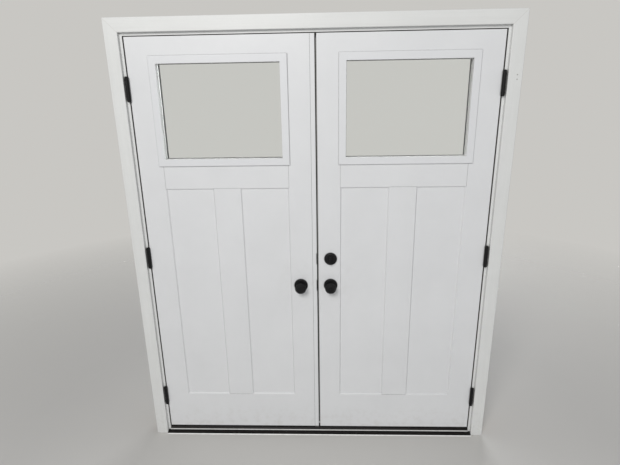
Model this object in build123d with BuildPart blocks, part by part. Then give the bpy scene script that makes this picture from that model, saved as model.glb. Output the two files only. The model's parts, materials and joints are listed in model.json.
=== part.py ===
# A pair of in-swing entrance doors hung in their frame, seen from the room side.
# X runs across the doorway, Y from the room (-Y) to the outdoors (+Y), Z up from the floor.
# The origin is on the floor, at the middle of the doorway, in the plane of the closed leaves'
# room face. All sizes are in millimetres.
import os

from build123d import *

# Leaves
leaf_width = 806.5
leaf_height = 2007.0
leaf_thickness = 44.5
lock_bevel = 2.0
edge_ease = 1.0
leaf_above_floor = 39.0

# Gaps round and between the leaves
hinge_gap = 3.0
head_gap = 3.0
meeting_gap = 5.0
astragal_width = 22.0

# Panels and the glazed light of a leaf
hinge_stile = 117.5
lock_stile = 106.5
mullion_width = 125.0
bottom_rail = 206.0
panel_height = 1133.0
panel_depth = 6.0
panel_slope = 42.0
light_frame_width = 610.0
light_frame_height = 483.0
light_below_top = 79.0
light_face = 34.0
light_lap = 16.0
light_proud = 7.0
light_flare = 3.0
light_edge_round = 3.0
glass_set_back = 13.0
glass_play = 4.0
pane_thickness = 3.2
spacer_set_back = 0.5
spacer_width = 9.0
skin_joint_width = 1.6
skin_joint_depth = 1.0

# Frame members
jamb_depth = 116.0
jamb_thickness = 19.0
stop_thickness = 12.7
rebate_depth = 50.0
kerf_width = 3.0
kerf_depth = 9.0
kerf_from_rebate = 2.5
casing_width = 60.0
casing_thickness = 17.0
casing_reveal = 12.0
casing_ease = 3.0
brickmould_width = 50.8
brickmould_thickness = 31.75
brickmould_reveal = 6.0
brickmould_cove = 14.0
weatherstrip_width = 11.0

# Sill
cap_height = 30.6
cap_top_width = 26.0
channel_floor = 16.0
channel_edge = 20.5
channel_width = 46.0
sheet = 2.0
front_wall = 3.0
deck_nose_out = 24.0
deck_nose_height = 12.0
nosing_depth = 25.0
nosing_back_height = 12.0
nosing_front_height = 4.0
nosing_trim_depth = 4.0

# Door bottoms
sweep_base = 2.5
fin_thickness = 2.0
fin_count = 3

# Hinges
hinge_height = 101.6
hinge_plate_width = 30.0
hinge_plate_thickness = 2.5
hinge_corner = 12.0
barrel_diameter = 17.0
pin_diameter = 6.0
pin_tip = 4.0
pin_forward = 9.2
knuckle_count = 5
top_hinge_down = 217.0
bottom_hinge_up = 201.0

# Lock furniture
backset = 60.3
knob_height = 845.0
deadbolt_above_knob = 140.0
cross_bore = 54.0
rose_diameter = 67.0
rose_height = 9.0
knob_diameter = 55.0
knob_projection = 61.0
knob_neck = 23.0
spindle_size = 7.6
button_diameter = 15.0
button_stem = 8.0
button_projection = 5.0
button_depth = 14.0
button_disc = 1.5
spindle_reach = 2.0
knob_back = 5.0
knob_crown = 2.0
lock_rose_diameter = 62.0
lock_rose_height = 12.0
lock_case_height = 17.0
thumb_length = 38.0
thumb_width = 9.0
thumb_shaft = 10.0
thumb_edge = 2.0
thumb_height = 19.0
plug_diameter = 28.0
key_slot_height = 9.0
key_slot_width = 2.0
key_slot_depth = 6.0
tailpiece = 5.0
faceplate_height = 57.0
faceplate_width = 25.4
faceplate_thickness = 2.4
bolt_tube_diameter = 25.0
latch_throw = 12.7
latch_height = 17.0
latch_thickness = 13.0
deadbolt_throw = 25.4
deadbolt_height = 18.0
deadbolt_thickness = 13.0
tail_thickness = 3.0
crank_pin = 4.0
crank_arm = 2.5
tail_bar = 3.0
yoke_wall = 3.0
fork_play = 0.9
strike_height = 57.0
strike_thickness = 1.6
strike_lip = 2.0
strike_reach = 34.0
seal_foot = 4.0
flush_bolt_diameter = 10.0
flush_bolt_length = 160.0
flush_bolt_throw = 16.0
flush_lever_height = 30.0
flush_lever_width = 6.0

# Clearances
running = 0.05
sliding = 0.25
clear = 0.3
drop_in = 0.15

# Positions that follow from the sizes
half_span = leaf_width + (meeting_gap + astragal_width) / 2
leaf_bottom = leaf_above_floor
leaf_top = leaf_bottom + leaf_height
rebate_x = half_span + hinge_gap
stop_x = rebate_x - stop_thickness
frame_x = rebate_x + jamb_thickness
rebate_z = leaf_top + head_gap
stop_z = rebate_z - stop_thickness
frame_z = rebate_z + jamb_thickness
casing_x = rebate_x + casing_reveal
casing_z = rebate_z + casing_reveal
lock_edge = half_span - leaf_width
astragal_edge = lock_edge - meeting_gap
panel_width = (leaf_width - hinge_stile - lock_stile - mullion_width) / 2
panel_mid = leaf_bottom + bottom_rail + panel_height / 2
panel_top = leaf_bottom + bottom_rail + panel_height
light_mid = leaf_top - light_below_top - light_frame_height / 2
light_bottom = light_mid - light_frame_height / 2
sight_width = light_frame_width - 2 * light_face
sight_height = light_frame_height - 2 * light_face
cutout_width = light_frame_width - 2 * light_lap
cutout_height = light_frame_height - 2 * light_lap
hinge_low = leaf_bottom + bottom_hinge_up
hinge_high = leaf_top - top_hinge_down
hinge_heights = [hinge_low, (hinge_low + hinge_high) / 2, hinge_high]
pin_x = half_span + hinge_gap / 2
lock_x = lock_edge + backset
knob_z = leaf_bottom + knob_height
deadbolt_z = knob_z + deadbolt_above_knob
mid_y = leaf_thickness / 2
knuckle = hinge_height / knuckle_count
flush_bolt_x = (astragal_edge - lock_edge) / 2
tube_length = backset - cross_bore / 2 - 1
bolt_front = lock_edge + lock_bevel

# Sill sections, as points across the doorway's depth and up
deck_nose = jamb_depth + deck_nose_out
sill_base_outline = [
    (sheet - front_wall, 0),
    (deck_nose - sheet, 0),
    (deck_nose - sheet, deck_nose_height - sheet),
    (channel_width + sheet, channel_floor - sheet),
    (sheet - front_wall, channel_floor - sheet),
]
sill_deck_outline = [
    (-front_wall, 0),
    (sheet - front_wall, 0),
    (sheet - front_wall, channel_floor - sheet),
    (channel_width + sheet, channel_floor - sheet),
    (deck_nose - sheet, deck_nose_height - sheet),
    (deck_nose - sheet, 0),
    (deck_nose, 0),
    (deck_nose, deck_nose_height),
    (channel_width + sheet, channel_edge),
    (channel_width, channel_edge),
    (channel_width, channel_floor),
    (sheet - front_wall, channel_floor),
    (sheet - front_wall, channel_edge),
    (-front_wall, channel_edge),
]
cap_back = channel_width - clear
cap_front = sheet - front_wall + clear
cap_slope_in = (cap_back - cap_front - cap_top_width) / 2
sill_cap_outline = [
    (cap_front, channel_floor),
    (cap_back, channel_floor),
    (cap_back, channel_edge),
    (cap_back - cap_slope_in, cap_height),
    (cap_front + cap_slope_in, cap_height),
    (cap_front, channel_edge),
]

os.makedirs("parts", exist_ok=True)


def save(piece, name):
    """Label a finished piece and write it as one STEP file."""
    piece.part.label = name
    export_step(piece.part, f"parts/{name}.step")


def across(side, from_hinge_edge):
    """X of a point of a leaf, measured from its hinge edge; side is -1 left, +1 right."""
    return side * (half_span - from_hinge_edge)


# Frame

def side_jamb(side):
    """Rebated jamb leg with a kerf for the weatherstrip and hinge mortises."""
    with BuildPart() as leg:
        with BuildSketch(Plane.XY):
            with BuildLine():
                Polyline(
                    (side * rebate_x, 0),
                    (side * frame_x, 0),
                    (side * frame_x, jamb_depth),
                    (side * stop_x, jamb_depth),
                    (side * stop_x, rebate_depth),
                    (side * rebate_x, rebate_depth),
                    close=True,
                )
            make_face()
        extrude(amount=frame_z)
        with BuildSketch(Plane.XY):
            with Locations((side * (rebate_x - kerf_from_rebate), rebate_depth + kerf_depth / 2)):
                Rectangle(kerf_width, kerf_depth)
        extrude(amount=frame_z, mode=Mode.SUBTRACT)
        with BuildSketch(Plane.YZ.offset(side * rebate_x)):
            mortise_outline()
        extrude(amount=side * hinge_plate_thickness, mode=Mode.SUBTRACT)
    return leg


def mortise_outline():
    """Cut-outs for the hinge plates, open at the room face, in the current YZ sketch."""
    with Locations(*[(hinge_plate_width / 2, z) for z in hinge_heights]):
        Rectangle(hinge_plate_width + 2 * drop_in, hinge_height + 2 * drop_in)
    fillet(vertices().group_by(Axis.X)[-1], radius=hinge_corner)


def head_jamb():
    """Rebated head, coped over the stops of the legs, bored for the top flush bolt."""
    with BuildPart() as head:
        with BuildSketch(Plane.YZ):
            with Locations((rebate_depth / 2, rebate_z + jamb_thickness / 2)):
                Rectangle(rebate_depth, jamb_thickness)
        extrude(amount=rebate_x, both=True)
        with BuildSketch(Plane.YZ):
            with Locations(((rebate_depth + jamb_depth) / 2, (stop_z + frame_z) / 2)):
                Rectangle(jamb_depth - rebate_depth, frame_z - stop_z)
        extrude(amount=stop_x, both=True)
        with BuildSketch(Plane.YZ):
            with Locations((rebate_depth + kerf_depth / 2, rebate_z - kerf_from_rebate)):
                Rectangle(kerf_depth, kerf_width)
        extrude(amount=stop_x, both=True, mode=Mode.SUBTRACT)
        with BuildSketch(Plane.XY.offset(rebate_z)):
            with Locations((flush_bolt_x, mid_y)):
                Circle(flush_bolt_diameter / 2 + 2 * clear)
        extrude(amount=flush_bolt_throw, mode=Mode.SUBTRACT)
    return head


def casing_leg(side):
    """Flat casing, mitred at the top, with eased room edges."""
    outer_x = casing_x + casing_width
    with BuildPart() as leg:
        with BuildSketch(Plane.XZ):
            with BuildLine():
                Polyline(
                    (side * casing_x, 0),
                    (side * outer_x, 0),
                    (side * outer_x, casing_z + casing_width),
                    (side * casing_x, casing_z),
                    close=True,
                )
            make_face()
        extrude(amount=casing_thickness)
        fillet(leg.faces().sort_by(Axis.Y)[0].edges().filter_by(Axis.Z), radius=casing_ease)
    return leg


def casing_head():
    """Head casing between the mitres."""
    outer_x = casing_x + casing_width
    with BuildPart() as head:
        with BuildSketch(Plane.XZ):
            with BuildLine():
                Polyline(
                    (-casing_x, casing_z),
                    (casing_x, casing_z),
                    (outer_x, casing_z + casing_width),
                    (-outer_x, casing_z + casing_width),
                    close=True,
                )
            make_face()
        extrude(amount=casing_thickness)
        fillet(head.faces().sort_by(Axis.Y)[0].edges().filter_by(Axis.X), radius=casing_ease)
    return head


def brickmould_section():
    """Moulding section from its inner back corner: square back and a cove on the inner edge."""
    with BuildSketch() as section:
        with BuildLine():
            Polyline(
                (brickmould_cove, brickmould_thickness),
                (brickmould_width, brickmould_thickness),
                (brickmould_width, 0),
                (0, 0),
                (0, brickmould_thickness - brickmould_cove),
            )
            RadiusArc(
                (0, brickmould_thickness - brickmould_cove),
                (brickmould_cove, brickmould_thickness),
                -brickmould_cove,
            )
        make_face()
    return section.sketch


def brickmould_leg(side):
    """Outdoor moulding beside the leg, mitred at the top."""
    inner = stop_x + brickmould_reveal
    top = stop_z + brickmould_reveal
    with BuildPart() as leg:
        with BuildSketch(Plane.XY):
            with Locations((inner, jamb_depth)):
                add(brickmould_section())
        extrude(amount=top + brickmould_width)
        with BuildSketch(Plane.XZ.offset(-jamb_depth)):
            with BuildLine():
                Polyline(
                    (inner, top),
                    (inner + brickmould_width, top + brickmould_width),
                    (inner, top + brickmould_width),
                    close=True,
                )
            make_face()
        extrude(amount=-brickmould_thickness, mode=Mode.SUBTRACT)
        if side < 0:
            mirror(about=Plane.YZ, mode=Mode.REPLACE)
    return leg


def brickmould_head():
    """Outdoor moulding over the doorway, mitred at both ends."""
    inner = stop_x + brickmould_reveal
    bottom = stop_z + brickmould_reveal
    reach = inner + brickmould_width
    section_plane = Plane(origin=(-reach, jamb_depth, bottom), x_dir=(0, 0, 1), z_dir=(-1, 0, 0))
    with BuildPart() as head:
        with BuildSketch(section_plane):
            add(brickmould_section())
        extrude(amount=-2 * reach)
        for side in (-1, 1):
            with BuildSketch(Plane.XZ.offset(-jamb_depth)):
                with BuildLine():
                    Polyline(
                        (side * inner, bottom),
                        (side * reach, bottom + brickmould_width),
                        (side * reach, bottom),
                        close=True,
                    )
                make_face()
            extrude(amount=-brickmould_thickness, mode=Mode.SUBTRACT)
    return head


def strip_section():
    """Weatherstrip section from the rebate corner: a rounded bulb and a tongue in the kerf."""
    bulb_front = leaf_thickness + clear - rebate_depth
    tongue_low = kerf_from_rebate - kerf_width / 2 + drop_in
    tongue_high = kerf_from_rebate + kerf_width / 2 - drop_in
    tongue_end = kerf_depth - clear
    with BuildSketch() as section:
        with BuildLine():
            Polyline(
                (clear, 0),
                (tongue_low, 0),
                (tongue_low, tongue_end),
                (tongue_high, tongue_end),
                (tongue_high, 0),
                (clear + weatherstrip_width, 0),
            )
            ThreePointArc(
                (clear + weatherstrip_width, 0),
                (clear + weatherstrip_width / 2, bulb_front),
                (clear, 0),
            )
        make_face()
    return section.sketch


def side_weatherstrip(side):
    """Compression seal on the stop of a leg."""
    foot = cap_height + clear
    section_plane = Plane(origin=(-rebate_x, rebate_depth, foot), x_dir=(1, 0, 0), z_dir=(0, 0, 1))
    with BuildPart() as strip:
        with BuildSketch(section_plane):
            add(strip_section())
        extrude(amount=rebate_z - weatherstrip_width - 2 * clear - foot)
        if side > 0:
            mirror(about=Plane.YZ, mode=Mode.REPLACE)
    return strip


def head_weatherstrip():
    """Compression seal on the stop of the head."""
    section_plane = Plane(origin=(0, rebate_depth, rebate_z), x_dir=(0, 0, -1), z_dir=(1, 0, 0))
    with BuildPart() as strip:
        with BuildSketch(section_plane):
            add(strip_section())
        extrude(amount=stop_x - clear, both=True)
    return strip


# Sill

def sill_board(outline):
    """Extrude a sill section between the legs, notch it round their stops, drill the bolt hole."""
    with BuildPart() as board:
        with BuildSketch(Plane.YZ):
            with BuildLine():
                Polyline(*outline, close=True)
            make_face()
        extrude(amount=rebate_x, both=True)
        with BuildSketch(Plane.XY):
            for side in (-1, 1):
                with Locations((side * (rebate_x + stop_x) / 2, rebate_depth + jamb_depth)):
                    Rectangle(stop_thickness, 2 * jamb_depth)
        extrude(amount=leaf_bottom, mode=Mode.SUBTRACT)
        with BuildSketch(Plane.XY.offset(cap_height)):
            with Locations((flush_bolt_x, mid_y)):
                Circle(flush_bolt_diameter / 2 + 2 * clear)
        extrude(amount=-(flush_bolt_throw + clear), mode=Mode.SUBTRACT)
    return board


def nosing():
    """Low ramp between the casing legs, from the sill down to the room floor."""
    back = -front_wall
    front = back - nosing_depth
    with BuildPart() as ramp:
        with BuildSketch(Plane.YZ):
            with BuildLine():
                Polyline(
                    (back, 0),
                    (back, nosing_back_height),
                    (front + nosing_trim_depth, nosing_front_height),
                    (front + nosing_trim_depth, 0),
                    close=True,
                )
            make_face()
        extrude(amount=casing_x - clear, both=True)
    return ramp


def nosing_trim():
    """Bright edge strip along the foot of the ramp."""
    front = -front_wall - nosing_depth
    with BuildPart() as trim:
        with BuildSketch(Plane.YZ):
            with BuildLine():
                Line((front, 0), (front + nosing_trim_depth, 0))
                Line((front + nosing_trim_depth, 0), (front + nosing_trim_depth, nosing_front_height))
                RadiusArc((front + nosing_trim_depth, nosing_front_height), (front, 0), nosing_trim_depth)
            make_face()
        extrude(amount=casing_x - clear, both=True)
    return trim


# Hinges

def hinge_leaf(side, on_jamb, z):
    """One hinge plate with its share of the knuckles, bored for the pin."""
    x = side * pin_x
    plate_inner = side * rebate_x if on_jamb else side * half_span
    into = side if on_jamb else -side
    own = range(0, knuckle_count, 2) if on_jamb else range(1, knuckle_count, 2)
    other = range(1, knuckle_count, 2) if on_jamb else range(0, knuckle_count, 2)
    foot = z - hinge_height / 2
    with BuildPart() as leaf:
        with BuildSketch(Plane.YZ.offset(plate_inner)):
            with Locations(((hinge_plate_width - pin_forward) / 2, z)):
                Rectangle(hinge_plate_width + pin_forward, hinge_height)
            fillet(vertices().group_by(Axis.X)[-1], radius=hinge_corner)
        extrude(amount=into * hinge_plate_thickness)
        with Locations(*[(x, -pin_forward, foot + (n + 0.5) * knuckle) for n in other]):
            Cylinder(barrel_diameter / 2 + clear, knuckle + 2 * clear, mode=Mode.SUBTRACT)
        with Locations(*[(x, -pin_forward, foot + (n + 0.5) * knuckle) for n in own]):
            Cylinder(barrel_diameter / 2, knuckle - clear)
        with Locations((x, -pin_forward, z)):
            Cylinder(pin_diameter / 2 + running, 2 * hinge_height, mode=Mode.SUBTRACT)
    return leaf


def hinge_pin(side, z):
    """Pin with a button tip at each end."""
    x = side * pin_x
    half = hinge_height / 2
    radius = pin_diameter / 2
    tip_radius = barrel_diameter / 2 - 1
    with BuildPart() as pin:
        with BuildSketch(Plane(origin=(x, -pin_forward, z), x_dir=(1, 0, 0), z_dir=(0, -1, 0))):
            with BuildLine():
                Polyline(
                    (0, -half - pin_tip),
                    (tip_radius / 2, -half - pin_tip),
                    (tip_radius, -half - pin_tip / 2),
                    (tip_radius, -half),
                    (radius, -half),
                    (radius, half),
                    (tip_radius, half),
                    (tip_radius, half + pin_tip / 2),
                    (tip_radius / 2, half + pin_tip),
                    (0, half + pin_tip),
                    close=True,
                )
            make_face()
        revolve(axis=Axis((x, -pin_forward, z), (0, 0, 1)))
    return pin


def group(pieces, name):
    """Write several equal pieces as separate solids of one node."""
    with BuildPart() as together:
        for piece in pieces:
            add(piece.part)
    save(together, name)


# Leaves

def leaf_slab(side):
    """Moulded leaf: two panels a face, a cut-out for the light and, on the right, lock bores."""
    with BuildPart() as slab:
        with BuildSketch(Plane.XY.offset(leaf_bottom)):
            with BuildLine():
                Polyline(
                    (across(side, 0), 0),
                    (across(side, leaf_width), 0),
                    (across(side, leaf_width - lock_bevel * (side > 0)), leaf_thickness),
                    (across(side, 0), leaf_thickness),
                    close=True,
                )
            make_face()
        extrude(amount=leaf_height)
        chamfer(slab.edges().filter_by(Axis.Z), length=edge_ease)
        with BuildSketch(Plane.XZ):
            with Locations((across(side, leaf_width / 2), light_mid)):
                Rectangle(cutout_width, cutout_height)
        extrude(amount=-leaf_thickness, mode=Mode.SUBTRACT)
        for face_y, inward in ((0, -1), (leaf_thickness, 1)):
            with BuildSketch(Plane.XZ.offset(-face_y)):
                with Locations(*panel_centres(side)):
                    Rectangle(panel_width, panel_height)
            extrude(amount=inward * panel_depth, taper=panel_slope, mode=Mode.SUBTRACT)
            with BuildSketch(Plane.XZ.offset(-face_y)):
                skin_joints(side)
            extrude(amount=inward * skin_joint_depth, mode=Mode.SUBTRACT)
        with BuildSketch(Plane.YZ.offset(across(side, 0))):
            mortise_outline()
        extrude(amount=-side * hinge_plate_thickness, mode=Mode.SUBTRACT)
        if side > 0:
            with BuildSketch(Plane.XZ):
                with Locations((lock_x, knob_z), (lock_x, deadbolt_z)):
                    Circle(cross_bore / 2)
            extrude(amount=-leaf_thickness, mode=Mode.SUBTRACT)
            with BuildSketch(Plane.YZ.offset(lock_edge)):
                with Locations((mid_y, knob_z), (mid_y, deadbolt_z)):
                    Circle(bolt_tube_diameter / 2 + drop_in)
            extrude(amount=backset, mode=Mode.SUBTRACT)
            with BuildSketch(Plane.YZ.offset(lock_edge)):
                with Locations((mid_y, knob_z), (mid_y, deadbolt_z)):
                    Rectangle(faceplate_width + 2 * drop_in, faceplate_height + 2 * drop_in)
            extrude(amount=faceplate_thickness + lock_bevel, mode=Mode.SUBTRACT)
    return slab


def panel_centres(side):
    first = hinge_stile + panel_width / 2
    last = leaf_width - lock_stile - panel_width / 2
    return [(across(side, u), panel_mid) for u in (first, last)]


def skin_joints(side):
    """Fine lines where stiles and rails meet, above, below and between the panels."""
    upper = (panel_top + light_bottom) / 2
    mullion = across(side, hinge_stile + panel_width + mullion_width / 2)
    with Locations(*[(across(side, u), upper) for u in (hinge_stile, leaf_width - lock_stile)]):
        Rectangle(skin_joint_width, light_bottom - panel_top)
    with Locations(*[(mullion, panel_mid + end * panel_height / 2) for end in (-1, 1)]):
        Rectangle(mullion_width, skin_joint_width)


def light_frame(side, face):
    """One half of the light's clamping frame; face is +1 on the room side, -1 outdoors."""
    face_y = 0 if face > 0 else leaf_thickness
    glass_y = face_y + face * glass_set_back
    middle = (across(side, leaf_width / 2), light_mid)
    with BuildPart() as ring:
        with BuildSketch(Plane.XZ.offset(-face_y)):
            with Locations(middle):
                Rectangle(light_frame_width, light_frame_height)
        extrude(amount=face * light_proud)
        outer_face = ring.faces().sort_by(Axis.Y)[0 if face > 0 else -1]
        fillet(outer_face.edges(), radius=light_edge_round)
        with BuildSketch(Plane.XZ.offset(-face_y)):
            with Locations(middle):
                Rectangle(cutout_width - 2 * clear, cutout_height - 2 * clear)
        extrude(amount=-face * glass_set_back)
        with BuildSketch(Plane.XZ.offset(-glass_y)):
            with Locations(middle):
                Rectangle(sight_width, sight_height)
        extrude(amount=face * (glass_set_back + light_proud), taper=-light_flare, mode=Mode.SUBTRACT)
    return ring


def glass_panes(side):
    """The two panes of the sealed glass unit."""
    middle = (across(side, leaf_width / 2), light_mid)
    with BuildPart() as panes:
        for y in (glass_set_back, leaf_thickness - glass_set_back - pane_thickness):
            with BuildSketch(Plane.XZ.offset(-y)):
                with Locations(middle):
                    Rectangle(cutout_width - 2 * glass_play, cutout_height - 2 * glass_play)
            extrude(amount=-pane_thickness)
    return panes


def glass_ring(side, set_out, width):
    """A frame between the panes, its inner edge set out from the sight line."""
    middle = (across(side, leaf_width / 2), light_mid)
    inner_width = sight_width + 2 * set_out
    inner_height = sight_height + 2 * set_out
    near = glass_set_back + pane_thickness
    with BuildPart() as ring:
        with BuildSketch(Plane.XZ.offset(-near)):
            with Locations(middle):
                Rectangle(inner_width + 2 * width, inner_height + 2 * width)
                Rectangle(inner_width, inner_height, mode=Mode.SUBTRACT)
        extrude(amount=-(leaf_thickness - 2 * near))
    return ring


def door_sweep(side):
    """Finned seal under a leaf, reaching down to the sill cap."""
    base_top = leaf_bottom
    fin_end = cap_height + clear
    depth = leaf_thickness - 2
    fin_pitch = (depth - fin_thickness) / (fin_count - 1)
    with BuildPart() as sweep_strip:
        with BuildSketch(Plane.YZ.offset(across(side, leaf_width / 2))):
            with Locations((mid_y, base_top - sweep_base / 2)):
                Rectangle(depth, sweep_base)
            with Locations(*[
                (mid_y + (n - (fin_count - 1) / 2) * fin_pitch, (base_top + fin_end) / 2)
                for n in range(fin_count)
            ]):
                Rectangle(fin_thickness, base_top - fin_end)
        extrude(amount=leaf_width / 2 - lock_bevel, both=True)
    return sweep_strip


# Meeting edge of the passive leaf

def astragal():
    """Moulding on the passive leaf's lock edge, bored for bolts and let in for strikes."""
    foot = cap_height + clear
    with BuildPart() as post:
        with BuildSketch(Plane.XY.offset(foot)):
            with BuildLine():
                Polyline(
                    (-lock_edge, 0),
                    (astragal_edge, 0),
                    (astragal_edge, leaf_thickness),
                    (-lock_edge, leaf_thickness),
                    close=True,
                )
            make_face()
        extrude(amount=leaf_top - foot)
        with BuildSketch(Plane.YZ.offset(astragal_edge)):
            with Locations((strike_reach / 2, knob_z), (strike_reach / 2, deadbolt_z)):
                Rectangle(strike_reach + 2 * drop_in, strike_height + 2 * drop_in)
        extrude(amount=-strike_thickness, mode=Mode.SUBTRACT)
        with BuildSketch(Plane.YZ.offset(astragal_edge)):
            with Locations((mid_y, knob_z)):
                Rectangle(latch_thickness + 4 * clear, latch_height + 4 * clear)
            with Locations((mid_y, deadbolt_z)):
                Rectangle(deadbolt_thickness + 4 * clear, deadbolt_height + 4 * clear)
        extrude(amount=-astragal_width, mode=Mode.SUBTRACT)
        for end_z, inward in ((foot, 1), (leaf_top, -1)):
            with BuildSketch(Plane.XY.offset(end_z)):
                with Locations((flush_bolt_x, mid_y)):
                    Circle(flush_bolt_diameter / 2 + clear)
            extrude(amount=inward * (flush_bolt_length + 2 * flush_bolt_throw), mode=Mode.SUBTRACT)
            lever_z = end_z + inward * (flush_bolt_length - flush_lever_height / 2)
            with BuildSketch(Plane.YZ.offset(astragal_edge)):
                with Locations((mid_y, lever_z - inward * flush_bolt_throw / 2)):
                    Rectangle(
                        flush_lever_width + 4 * clear,
                        flush_lever_height + flush_bolt_throw + 4 * clear,
                    )
            extrude(amount=flush_bolt_x - astragal_edge, mode=Mode.SUBTRACT)
    return post


def astragal_seal():
    """Edge seal in the meeting gap, outdoors of the strikes and short of the active leaf."""
    seal_y = strike_reach + seal_foot
    tip = astragal_edge + meeting_gap - lock_bevel + clear
    with BuildPart() as strip:
        with BuildSketch(Plane.XY.offset(leaf_bottom)):
            with BuildLine():
                Polyline(
                    (astragal_edge, seal_y - seal_foot / 2),
                    (tip, seal_y),
                    (astragal_edge, seal_y + seal_foot / 2),
                    close=True,
                )
            make_face()
        extrude(amount=leaf_height)
    return strip


def strike_plate(z, bolt_thickness, bolt_height):
    """Strike let into the astragal, its lip turned over the room edge."""
    back_x = astragal_edge - strike_thickness
    with BuildPart() as plate:
        with BuildSketch(Plane.XY.offset(z - strike_height / 2)):
            with BuildLine():
                Polyline(
                    (back_x, strike_reach),
                    (back_x, -strike_lip),
                    (back_x - strike_lip, -strike_lip - strike_thickness),
                    (back_x + strike_thickness / 2, -strike_lip - strike_thickness),
                    (astragal_edge, -strike_lip),
                    (astragal_edge, strike_reach),
                    close=True,
                )
            make_face()
        extrude(amount=strike_height)
        with BuildSketch(Plane.YZ.offset(astragal_edge)):
            with Locations((mid_y, z)):
                Rectangle(bolt_thickness + 4 * clear, bolt_height + 4 * clear)
        extrude(amount=-2 * strike_thickness, mode=Mode.SUBTRACT)
    return plate


def flush_bolt(end_z, inward):
    """Edge bolt in the astragal, drawn back, with its finger slide."""
    tip = end_z + inward * clear
    lever_z = end_z + inward * (flush_bolt_length - flush_lever_height / 2)
    lever_out = astragal_edge - clear
    with BuildPart() as bolt:
        with BuildSketch(Plane.XY.offset(tip)):
            with Locations((flush_bolt_x, mid_y)):
                Circle(flush_bolt_diameter / 2)
        extrude(amount=inward * flush_bolt_length)
        chamfer(bolt.edges().filter_by(GeomType.CIRCLE).sort_by(Axis.Z)[0 if inward > 0 else -1], length=2)
        with BuildSketch(Plane.YZ.offset(lever_out)):
            with Locations((mid_y, lever_z)):
                Rectangle(flush_lever_width, flush_lever_height)
        extrude(amount=flush_bolt_x - lever_out)
    return bolt


# Knobs and locks

def face_point(face, radius, height):
    """A point of a turned outline, height above the leaf's room face (+1) or outer face (-1)."""
    base = 0 if face > 0 else leaf_thickness
    return (radius, base - face * height)


def turned(x, z, outline):
    """Revolve the outline that the function draws about the Y axis through x, z."""
    with BuildPart() as piece:
        with BuildSketch(Plane(origin=(x, 0, z))):
            with BuildLine():
                outline()
            make_face()
        revolve(axis=Axis((x, 0, z), (0, 1, 0)))
    return piece


def rose(x, z, face, diameter, height, hole):
    """Domed rose on the leaf with a hole for the neck or the shaft."""
    def outline():
        radius = diameter / 2
        shoulder = height / 3
        crown = radius - height
        Polyline(
            face_point(face, crown, height),
            face_point(face, hole / 2, height),
            face_point(face, hole / 2, 0),
            face_point(face, radius, 0),
            face_point(face, radius, shoulder),
        )
        Spline(
            face_point(face, radius, shoulder),
            face_point(face, crown, height),
            tangents=((0, -face), (-1, 0)),
        )
    return turned(x, z, outline)


def knob(x, face, working):
    """Round knob on its neck; a working one is hollow for the spindle and the button."""
    neck = knob_neck / 2
    radius = knob_diameter / 2
    back = knob_projection - radius - knob_back
    face_y = 0 if face > 0 else leaf_thickness

    def outline():
        Polyline(
            face_point(face, 0, knob_projection),
            face_point(face, 0, clear),
            face_point(face, neck, clear),
            face_point(face, neck, back - knob_crown),
        )
        Spline(
            face_point(face, neck, back - knob_crown),
            face_point(face, radius, (back + knob_projection) / 2 + knob_crown / 2),
            face_point(face, radius * 0.68, knob_projection - knob_crown),
            face_point(face, 0, knob_projection),
            tangents=((0, -face), (-1, 0)),
        )

    with BuildPart() as handle:
        add(turned(x, knob_z, outline).part)
        if working:
            with BuildSketch(Plane.XZ.offset(-face_y)):
                with Locations((x, knob_z)):
                    Rectangle(spindle_size + 2 * running, spindle_size + 2 * running)
            extrude(amount=face * (back + spindle_reach), mode=Mode.SUBTRACT)
        if working and face > 0:
            with BuildSketch(Plane.XZ.offset(knob_projection + clear)):
                with Locations((x, knob_z)):
                    Circle(button_stem / 2 + running)
            extrude(amount=-(button_depth + clear), mode=Mode.SUBTRACT)
    return handle


def knob_spindle():
    """Square bar that joins the two knobs through the leaf."""
    reach = knob_projection - knob_diameter / 2 - knob_back + spindle_reach - clear
    with BuildPart() as bar:
        with BuildSketch(Plane.XZ.offset(reach)):
            with Locations((lock_x, knob_z)):
                Rectangle(spindle_size, spindle_size)
        extrude(amount=-(leaf_thickness + 2 * reach))
    return bar


def turn_button():
    """Locking button in the room-side knob: a stem, a disc and a finger bar."""
    seat = knob_projection + clear
    with BuildPart() as button:
        with BuildSketch(Plane.XZ.offset(seat)):
            with Locations((lock_x, knob_z)):
                Circle(button_stem / 2)
        extrude(amount=-button_depth)
        with BuildSketch(Plane.XZ.offset(seat)):
            with Locations((lock_x, knob_z)):
                Circle(button_diameter / 2)
        extrude(amount=button_disc)
        with BuildSketch(Plane.XZ.offset(seat)):
            with Locations((lock_x, knob_z)):
                SlotOverall(button_diameter - 2, button_stem / 2, rotation=90)
        extrude(amount=button_projection)
    return button


def bolt_case(z, window_thickness, window_height, length):
    """Edge faceplate with the round tube that guides a bolt."""
    with BuildPart() as case:
        with BuildSketch(Plane.XY.offset(z - faceplate_height / 2)):
            slope = lock_bevel / leaf_thickness
            low = mid_y - faceplate_width / 2
            high = mid_y + faceplate_width / 2
            with BuildLine():
                Polyline(
                    (lock_edge + slope * low, low),
                    (lock_edge + faceplate_thickness + lock_bevel, low),
                    (lock_edge + faceplate_thickness + lock_bevel, high),
                    (lock_edge + slope * high, high),
                    close=True,
                )
            make_face()
        extrude(amount=faceplate_height)
        with BuildSketch(Plane.YZ.offset(lock_edge + faceplate_thickness + lock_bevel)):
            with Locations((mid_y, z)):
                Circle(bolt_tube_diameter / 2)
        extrude(amount=length - faceplate_thickness - lock_bevel)
        with BuildSketch(Plane.YZ.offset(lock_edge)):
            with Locations((mid_y, z)):
                Rectangle(window_thickness + 2 * sliding, window_height + 2 * sliding)
        extrude(amount=backset, mode=Mode.SUBTRACT)
    return case


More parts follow.
